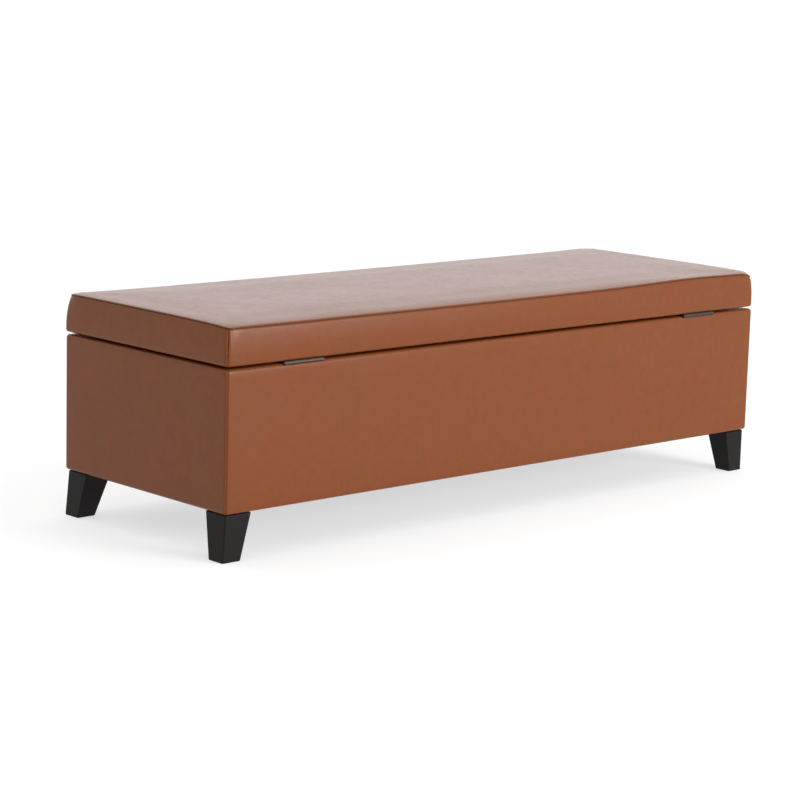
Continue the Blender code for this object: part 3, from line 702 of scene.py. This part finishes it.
def over_lid(x, y):
    """A point of the top panel from its place in the flat grid, before the corners are softened."""
    inset_x, inset_y = top_half_x - abs(x), top_half_y - abs(y)
    u, v = max(0.0, 1 - inset_x / top_radius), max(0.0, 1 - inset_y / top_radius)
    flat_x = x - math.copysign(top_radius * u * (1 - math.sqrt(1 - v * v / 2)), x)
    flat_y = y - math.copysign(top_radius * v * (1 - math.sqrt(1 - u * u / 2)), y)
    inset = min(inset_x, inset_y)
    if u > 0 and v > 0:
        outward = Vector((math.copysign(u, x), math.copysign(v, y), 0)).normalized()
    elif inset_x < inset_y:
        outward = Vector((math.copysign(1, x), 0, 0))
    else:
        outward = Vector((0, math.copysign(1, y), 0))
    edge = crown(inset_x, inset_y)
    if inset < NOMINAL[-1]:
        blend = inset / NOMINAL[-1]
        edge = (1 - blend) * float(np.interp(inset, NOMINAL, ROLL_RISE)) + blend * edge
    flat = Vector((flat_x, flat_y, 0))
    if inset < NOMINAL[-1]:
        flat -= outward * (float(np.interp(inset, NOMINAL, ROLL_INSET)) - inset)
    hit = pad_tree.ray_cast(Vector((flat.x, flat.y, 1.0)), Vector((0, 0, -1)))[0]
    over_pad = hit.z + WADDING - seam_height if hit else edge
    share = clamped((inset - 0.030) / 0.060)
    rise = edge + PAD_FOLLOW * share * (over_pad - edge)
    place = Vector((flat.x, flat.y, 0.39))
    waves = soft_waves(place, 0.14, 0.0011, 41) + soft_waves(place, 0.045, 0.0003, 47)
    rise += seam_rise(flat.x, flat.y) * math.exp(-inset / 0.12)
    rise += waves * min(1.0, inset / 0.04) + puckers(place, inset, math.hypot(inset_x, inset_y))
    return Vector((flat.x, flat.y, seam_height + rise))


columns, rows = grid_stops(top_half_x), grid_stops(top_half_y)
vertices = [softened_corner(over_lid(x, y)) for y in rows for x in columns]
width, depth = len(columns), len(rows)
faces = grid_faces(width, depth)
# The seam allowance turns straight down inside the border
edge_loop = list(range(width)) + [r * width + width - 1 for r in range(1, depth)]
edge_loop += [(depth - 1) * width + c for c in reversed(range(width - 1))]
edge_loop += [r * width for r in reversed(range(1, depth - 1))]
turned = len(vertices)
vertices += [vertices[i] - Vector((0, 0, SEAM_ALLOWANCE)) for i in edge_loop]
for k in range(len(edge_loop)):
    j = (k + 1) % len(edge_loop)
    faces.append((edge_loop[k], turned + k, turned + j, edge_loop[j]))
lid_top = new_piece("leather_top_of_lid", vertices, faces, leather, "lid")
thicken(lid_top, LEATHER)
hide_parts("lid_top_panel")

# Seam thread: bonded nylon in dark brown, sunk between the top panel and the border. It is made
# near-black and laid where it shows, so that it is partly painted shade along the seam's groove
STITCH = 0.004
THREAD_RADIUS = 0.0005
THREAD_IN = 0.0024
thread, tree, shader, place = new_material("bonded nylon thread, dark brown, as painted groove shade", roughness=0.6)
twist = speckle(tree, place, THREAD_RADIUS, 1.0)
# Painted shade: this near-black brown stands in for the shadow in the seam's groove as well as for
# the thread
brown = two_tones(tree, "#1a0f0a", "#2c1a10", twist)
wire(tree, shader, {"Base Color": brown})

route = []
for quarter in range(4):
    route += [corner_point(lid_outline, quarter, math.pi / 2 * i / 8, THREAD_IN) for i in range(8)]
    start = corner_point(lid_outline, quarter, math.pi / 2, THREAD_IN)
    stop = corner_point(lid_outline, (quarter + 1) % 4, 0.0, THREAD_IN)
    steps = round((stop - start).length / (STITCH / 2))
    route += [start.lerp(stop, i / steps) for i in range(steps)]
vertices, faces = [], []
for number, flat in enumerate(route):
    ahead = (route[(number + 1) % len(route)] - route[number - 1]).normalized()
    outward = Vector((ahead.y, -ahead.x, 0.0))
    sunk = 0.0003 * (number % 2)
    level = seam_height - 0.0015 + seam_rise(flat.x, flat.y)
    centre = Vector((flat.x, flat.y, level)) - outward * sunk
    for k in range(6):
        angle = math.tau * k / 6
        offset = (outward * math.cos(angle) + Vector((0, 0, 1)) * math.sin(angle)) * THREAD_RADIUS
        vertices.append(softened_corner(centre + offset))
    for k in range(6):
        a, b = 6 * number + k, 6 * number + (k + 1) % 6
        c, d = (a + 6) % (6 * len(route)), (b + 6) % (6 * len(route))
        faces.append((a, b, d, c))
seam_thread = new_piece("seam_thread_and_painted_groove_shade_of_lid", vertices, faces, thread, "lid")


# ----------------------------------------------------------------------------
# Linings: black spun-bonded polypropylene, a thin felt-like cloth. One sheet under the lid and
# one under the box have a folded hem and a row of staples. Inside, one strip goes round the
# walls and one sheet lies on the floor.
# ----------------------------------------------------------------------------

# Spun-bonded cloth: pressed with small dots 1.6 mm apart, drawn 2.4 mm apart so that they show
DOT_SPACING = 0.0024
FUZZ = 0.0005
lining, tree, shader, place = new_material("polypropylene cloth, spun-bonded", roughness=0.88)
shader.inputs["Specular IOR Level"].default_value = 0.25
shader.inputs["Sheen Weight"].default_value = 0.25
shader.inputs["Sheen Roughness"].default_value = 0.5
dots = add_node(
    tree, "TexVoronoi", {"Scale": 1 / DOT_SPACING, "Randomness": 0.15}, {"Vector": place}
)
pressed = add_node(
    tree, "MapRange", {"From Min": 0.15, "From Max": 0.42, "interpolation_type": "SMOOTHSTEP"},
    {"Value": dots.outputs["Distance"]},
)
fuzz = speckle(tree, place, FUZZ, 2.0)
raised = add_node(
    tree, "Math", {"operation": "MULTIPLY_ADD", 1: 0.35},
    {0: fuzz, 2: pressed.outputs["Result"]},
)
black = two_tones(tree, "#101012", "#232326", raised.outputs["Value"])
relief = bump(tree, 0.5, 0.00025, raised.outputs["Value"])
wire(tree, shader, {"Base Color": black, "Normal": relief})

STAPLE_SPACING = 0.052
STAPLE_CROWN = 0.0105
STAPLE_WIDTH = 0.0012
STAPLE_WIRE = 0.0005
STAPLE_IN = 0.0055  # from the hem's folded edge
STAPLE_PROUD = 0.0004
STAPLE_SUNK = 0.0008
HEM = 0.010
CLOTH = 0.0004


def staple_run(points, along, out):
    """Bent flat wire for each staple: a crown that stands just proud, its ends turned in."""
    across = along.cross(out)
    half = STAPLE_CROWN / 2
    flat = half - 0.0004
    path = [
        (-half, -STAPLE_SUNK), (-half, 0.0001), (-flat, STAPLE_PROUD),
        (flat, STAPLE_PROUD), (half, 0.0001), (half, -STAPLE_SUNK),
    ]
    corners = [(-1, 0), (1, 0), (1, 1), (-1, 1)]
    vertices, faces = [], []
    for middle in points:
        first = len(vertices)
        for step, (run, up) in enumerate(path):
            inward = -math.copysign(STAPLE_WIRE, run) if step in (0, 1, 4, 5) else 0.0
            drop = -STAPLE_WIRE if step in (2, 3) else 0.0
            for side, inner in corners:
                vertices.append(
                    middle + along * (run + inner * inward) + out * (up + inner * drop)
                    + across * (side * STAPLE_WIDTH / 2)
                )
        for step in range(len(path) - 1):
            for k in range(4):
                a, b = first + 4 * step + k, first + 4 * step + (k + 1) % 4
                faces.append((a, b, b + 4, a + 4))
        last = first + 4 * len(path) - 4
        faces += [(first + 3, first + 2, first + 1, first), (last, last + 1, last + 2, last + 3)]
    return vertices, faces


def hem_stops(low, high, spacing):
    """Places across a sheet from edge to edge, close together over the folded hem."""
    near = [0.0, 0.0007, 0.003, 0.0055, 0.008, HEM, HEM + 0.0006, HEM + 0.004, HEM + 0.010]
    inner = spaced(low + 0.028, high - 0.028, spacing)
    return [low + d for d in near] + inner + [high - d for d in reversed(near)]


def staple_places(length):
    """Evenly spaced places along an edge, measured from its middle."""
    count = max(2, round(length / STAPLE_SPACING))
    return [length * ((i + 0.5) / count - 0.5) for i in range(count)]


def stapled_sheet(name, low, high, out, body, sag, seed):
    """A rectangular sheet with a hem folded under, pulled tight to a row of staples near each edge.
    The face that shows is at high.z or low.z, whichever way out points."""
    level = high.z if out > 0 else low.z
    middle = (low + high) / 2
    width, depth = high.x - low.x, high.y - low.y
    reach_x, reach_y = width / 2, depth / 2
    step_x = width / max(2, round(width / STAPLE_SPACING))
    step_y = depth / max(2, round(depth / STAPLE_SPACING))
    xs, ys = hem_stops(-reach_x, reach_x, 0.013), hem_stops(-reach_y, reach_y, 0.013)
    vertices = []
    for y in ys:
        for x in xs:
            inset_x, inset_y = reach_x - abs(x), reach_y - abs(y)
            inset = min(inset_x, inset_y)
            pull_x = 0.5 + 0.5 * math.cos(math.tau * x / step_x)
            pull_y = 0.5 + 0.5 * math.cos(math.tau * y / step_y)
            free = pull_x if inset_y < inset_x else pull_y
            scallop = 0.0012 * free
            moved_x, moved_y = x, y
            if inset_x <= inset_y:
                moved_x -= math.copysign(scallop * math.exp(-inset_x / 0.012), x)
            else:
                moved_y -= math.copysign(scallop * math.exp(-inset_y / 0.012), y)
            lift = 0.0005 if inset < HEM + 0.0003 else 0.0
            lift -= 0.0004 if inset < 0.0004 else 0.0
            lift += 0.0004 * free * math.exp(-inset / 0.02)
            point = Vector((moved_x, moved_y, 0.0))
            lift += soft_waves(point, 0.09, 0.0006, seed) * min(1.0, inset / 0.04)
            lift += sag * min(1.0, inset / 0.06) * (1 - (y / reach_y) ** 2)
            z = level + out * (lift - 0.0005)
            vertices.append(Vector((middle.x + moved_x, middle.y + moved_y, z)))
    piece = new_piece(name, vertices, grid_faces(len(xs), len(ys), flipped=out < 0), lining, body)
    thicken(piece, CLOTH)
    outward = Vector((0, 0, out))
    top = level + out * 0.0002
    wires, quads = [], []
    runs = []
    for side in (-1, 1):
        y = middle.y + side * (reach_y - STAPLE_IN)
        points = [Vector((middle.x + run, y, top)) for run in staple_places(width)]
        runs.append((points, Vector((1, 0, 0))))
    for side in (-1, 1):
        x = middle.x + side * (reach_x - STAPLE_IN)
        points = [Vector((x, middle.y + run, top)) for run in staple_places(depth)]
        runs.append((points, Vector((0, 1, 0))))
    for points, along in runs:
        more, ends = staple_run(points, along, outward)
        quads += [tuple(i + len(wires) for i in quad) for quad in ends]
        wires += more
    staples = new_piece(name + "_staples", wires, quads, zinc, body)
    staples.data.shade_flat()
    return piece


low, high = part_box("lid_lining")
piece = stapled_sheet("lining_of_lid", low, high, -1, "lid", 0.0002, 61)
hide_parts("lid_lining")
low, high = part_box("dust_cover")
piece = stapled_sheet("dust_cover_cloth", low, high, -1, "base", 0.0004, 67)
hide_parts("dust_cover")

# Walls: one strip round the inside, its top edge tucked behind the leather, with soft creases
walls_low, walls_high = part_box("lining_walls")
WALL_CORNER = 0.004
wall_outline = (walls_high.x, walls_high.y, WALL_CORNER)
wall_columns = []
for quarter in range(4):
    wall_columns += [(quarter, math.pi / 2 * i / 4, 0.0) for i in range(5)]
    reach = wall_outline[0] if quarter in (0, 2) else wall_outline[1]
    shares = spaced(0.0, 1.0, 0.014 / (2 * reach))[1:-1]
    wall_columns += [(quarter, math.pi / 2, share) for share in shares]
wall_columns.append((0, 0.0, 0.0))
heights = spaced(walls_low.z, walls_high.z + 0.008, 0.012)
vertices = []
for z in heights:
    for quarter, angle, share in wall_columns:
        start = corner_point(wall_outline, quarter, angle, 0.0005)
        stop = corner_point(wall_outline, (quarter + 1) % 4, 0.0, 0.0005)
        flat = start.lerp(stop, share) if share else start
        across, ahead = -flat.x / wall_outline[0], -flat.y / wall_outline[1]
        inward = Vector((across, 0, 0)) if abs(across) > abs(ahead) else Vector((0, ahead, 0))
        free = math.sin(math.pi * (z - heights[0]) / (heights[-1] - heights[0])) if share else 0.0
        point = Vector((*flat, z))
        wave = soft_waves(Vector((*flat, z * 0.45)), 0.07, 0.0014, 71)
        wave += soft_waves(point, 0.025, 0.0004, 73)
        vertices.append(point + inward.normalized() * free * (0.0012 + wave))
faces = grid_faces(len(wall_columns), len(heights), flipped=True)
piece = new_piece("lining_of_walls", vertices, faces, lining, "base")
thicken(piece, CLOTH)
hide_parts("lining_walls")

# Floor: laid on the board and glued, with a few flat ripples; its edges turn up the walls
floor_low, floor_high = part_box("lining_floor")
TURN_UP = 0.003
inner_x, inner_y = floor_high.x - 0.0008, floor_high.y - 0.0008
xs = [-inner_x, *spaced(0.002 - inner_x, inner_x - 0.002, 0.013), inner_x]
ys = [-inner_y, *spaced(0.002 - inner_y, inner_y - 0.002, 0.013), inner_y]
vertices = []
for y in ys:
    for x in xs:
        inset = min(inner_x - abs(x), inner_y - abs(y))
        point = Vector((x, y, 0.0))
        ripple = abs(soft_waves(point, 0.10, 0.0016, 81)) + soft_waves(point, 0.03, 0.0002, 83)
        lift = TURN_UP if inset < 0.001 else max(0.0, ripple) * min(1.0, inset / 0.03)
        vertices.append(Vector((x, y, floor_high.z + lift)))
piece = new_piece("lining_of_floor", vertices, grid_faces(len(xs), len(ys)), lining, "base")
thicken(piece, CLOTH)
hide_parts("lining_floor")


# ----------------------------------------------------------------------------
# Hinges: two pressed and rolled butt hinges in steel, plated with dull bronze, on the rear rim and
# under the lid. Three countersunk screws hold each leaf.
# ----------------------------------------------------------------------------

# Dull bronze plating: dark greyish brown, worn a little paler in patches a few millimetres wide
WEAR = 0.004
bronze, tree, shader, place = new_material("steel, dull bronze plated", metallic=1.0)
patches = speckle(tree, place, WEAR, 4.0, roughness=0.6)
plating = two_tones(tree, "#352c27", "#564b44", patches)
dull = between(tree, 0.38, 0.58, patches)
relief = bump(tree, 0.2, 0.0001, patches)
wire(tree, shader, {"Base Color": plating, "Roughness": dull, "Normal": relief})
finish_nodes("hinge_", bronze)

SCREW_TURNS = 32
CROSS_ARM = 0.00045
CROSS_REACH = 0.0019
CROSS_DEPTH = 0.0007


def screws(name, places, out, radius, dome, material, body):
    """Screw heads with a cross recess, standing dome above each place along out."""
    side = out.orthogonal().normalized()
    other = out.cross(side)
    rings = [0.0003, 0.0006, 0.0010, 0.0014, 0.0018, 0.0021, radius * 0.86, radius * 0.96, radius]
    vertices, faces = [], []
    for number, centre in enumerate(places):
        first = len(vertices)
        turned = 0.7 * number + 0.3
        for r in rings:
            for k in range(SCREW_TURNS):
                angle = math.tau * k / SCREW_TURNS
                u, v = r * math.cos(angle), r * math.sin(angle)
                height = dome * (1 - (r / radius) ** 2)
                if min(abs(u), abs(v)) < CROSS_ARM and r < CROSS_REACH:
                    height -= CROSS_DEPTH * (1 - 0.4 * r / CROSS_REACH)
                a = u * math.cos(turned) - v * math.sin(turned)
                b = u * math.sin(turned) + v * math.cos(turned)
                vertices.append(centre + side * a + other * b + out * height)
        for k in range(SCREW_TURNS):
            angle = math.tau * k / SCREW_TURNS + turned
            spoke = side * math.cos(angle) + other * math.sin(angle)
            vertices.append(centre + spoke * radius * 0.5 - out * 0.0009)
        rows = len(rings) + 1
        for r in range(rows - 1):
            for k in range(SCREW_TURNS):
                a, b = first + r * SCREW_TURNS + k, first + r * SCREW_TURNS + (k + 1) % SCREW_TURNS
                faces.append((a, a + SCREW_TURNS, b + SCREW_TURNS, b))
        faces.append(tuple(first + k for k in range(SCREW_TURNS)))
        last = first + (rows - 1) * SCREW_TURNS
        faces.append(tuple(last + k for k in reversed(range(SCREW_TURNS))))
    piece = new_piece(name, vertices, faces, material, body)
    piece.data.set_sharp_from_angle(angle=math.radians(35))


SCREWS_APART = 0.030
SCREWS_IN = 0.0085  # from the leaf's inner edge
for end in ("left", "right"):
    # Each leaf's open face: the body's looks up and the lid's looks down
    for leaf, out, level, body in (("body", 1, 0.3215, "base"), ("lid", -1, 0.3225, "lid")):
        low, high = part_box(f"hinge_{end}_{leaf}_leaf")
        middle = (low.x + high.x) / 2
        runs = (-SCREWS_APART, 0.0, SCREWS_APART)
        places = [Vector((middle + run, low.y + SCREWS_IN, level)) for run in runs]
        screws(
            f"hinge_{end}_{leaf}_screws", places, Vector((0, 0, out)), 0.0030, 0.0003,
            bronze, body,
        )


# ----------------------------------------------------------------------------
# Lid stays: a slotted arm in each end, pressed from steel strip and powder-coated black.
# Round-headed screws hold the wall plate and the bracket. The pin and the rivet are zinc-plated.
# ----------------------------------------------------------------------------

# Powder coat: an orange-peel surface with bumps about 0.8 mm apart
PEEL = 0.0008
powder, tree, shader, place = new_material("steel, powder-coated black")
peel = speckle(tree, place, PEEL, 2.0)
coat = two_tones(tree, "#141415", "#1e1e20", peel)
satin = between(tree, 0.38, 0.52, peel)
relief = bump(tree, 0.35, 0.0001, peel)
wire(tree, shader, {"Base Color": coat, "Roughness": satin, "Normal": relief})
BRACKET_FACE = 0.3213  # underside of the bracket's flange
for end in ("left", "right"):
    sign = -1 if end == "left" else 1
    for part in ("wall_plate", "arm", "bracket"):
        finish_nodes(f"stay_{end}_{part}", powder)
    for part in ("pin", "rivet"):
        finish_nodes(f"stay_{end}_{part}", zinc)
    low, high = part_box(f"stay_{end}_wall_plate")
    inner = low.x if sign > 0 else high.x
    places = [Vector((inner, y, (low.z + high.z) / 2)) for y in (low.y + 0.0055, high.y - 0.0055)]
    screws(
        f"stay_{end}_plate_screws", places, Vector((-sign, 0, 0)), 0.0032, 0.0010,
        zinc, "base",
    )
    low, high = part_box(f"stay_{end}_bracket")
    tip = low.x if sign > 0 else high.x
    along = tip + sign * 0.008
    places = [Vector((along, y, BRACKET_FACE)) for y in (low.y + 0.006, high.y - 0.006)]
    screws(
        f"stay_{end}_bracket_screws", places, Vector((0, 0, -1)), 0.0032, 0.0010,
        zinc, "lid",
    )


# ----------------------------------------------------------------------------
# Stage: a white floor under a soft box light, with white all round, as for a catalogue picture.
# ----------------------------------------------------------------------------

floor_mesh = bpy.data.meshes.new("white_floor")
FLOOR_REACH = 30.0
floor_mesh.from_pydata(
    [(FLOOR_REACH * x, FLOOR_REACH * y, 0) for x, y in ((-1, -1), (1, -1), (1, 1), (-1, 1))],
    [], [(0, 1, 2, 3)]
)
white_floor = bpy.data.objects.new("white_floor", floor_mesh)
bpy.context.scene.collection.objects.link(white_floor)
floor_paint, tree, shader, place = new_material("white studio floor, lit through", roughness=0.9)
shader.inputs["Specular IOR Level"].default_value = 0.0
shader.inputs["Base Color"].default_value = (0.42, 0.42, 0.42, 1.0)
shader.inputs["Emission Color"].default_value = (1.0, 1.0, 1.0, 1.0)
shader.inputs["Emission Strength"].default_value = 0.56
floor_mesh.materials.append(floor_paint)

# White all round, and brighter low down behind the bench, where a lit backdrop stands
world = bpy.data.worlds.new("studio")
bpy.context.scene.world = world
world.use_nodes = True
tree = world.node_tree
background = tree.nodes["Background"]
background.inputs["Color"].default_value = (1.0, 1.0, 1.0, 1.0)
BACKDROP = Vector((-0.66, -0.72, 0.20)).normalized()
direction = add_node(tree, "TexCoord").outputs["Generated"]
facing = add_node(tree, "VectorMath", {"operation": "DOT_PRODUCT", 1: BACKDROP}, {0: direction})
glow = add_node(
    tree, "MapRange",
    {
        "From Min": 0.35, "From Max": 0.95, "To Min": 1.0, "To Max": 1.65,
        "interpolation_type": "SMOOTHSTEP",
    },
    {"Value": facing.outputs["Value"]},
)
tree.links.new(glow.outputs["Result"], background.inputs["Strength"])


def soft_box(name, place, aim, size, power):
    """A rectangular soft light at a place, turned towards another."""
    lamp = bpy.data.lights.new(name, "AREA")
    lamp.shape = "RECTANGLE"
    lamp.size, lamp.size_y = size
    lamp.energy = power
    made = bpy.data.objects.new(name, lamp)
    made.location = place
    made.rotation_euler = (Vector(aim) - Vector(place)).to_track_quat("-Z", "Y").to_euler()
    bpy.context.scene.collection.objects.link(made)


soft_box("key light", (-1.6, 5.2, 1.4), (0, 0, 0.2), (2.6, 1.8), 300)

camera = bpy.data.objects.new("camera", bpy.data.cameras.new("camera"))
bpy.context.scene.collection.objects.link(camera)
EYE = Vector((3.1234, 3.3226, 0.9988))
HEADING, DIP, TILT = (math.radians(a) for a in (-132.613, 10.304, 1.585))
LENS = 112.96  # millimetres
forward = Vector((
    math.cos(HEADING) * math.cos(DIP), math.sin(HEADING) * math.cos(DIP), -math.sin(DIP)
))
level_right = Vector((math.sin(HEADING), -math.cos(HEADING), 0.0))
level_up = level_right.cross(forward)
right = math.cos(TILT) * level_right + math.sin(TILT) * level_up
up = -math.sin(TILT) * level_right + math.cos(TILT) * level_up
camera.matrix_world = Matrix.Translation(EYE) @ Matrix((right, up, -forward)).transposed().to_4x4()
camera.data.lens = LENS
camera.data.clip_end = 200.0
bpy.context.scene.camera = camera
bpy.context.scene.view_settings.view_transform = "Standard"
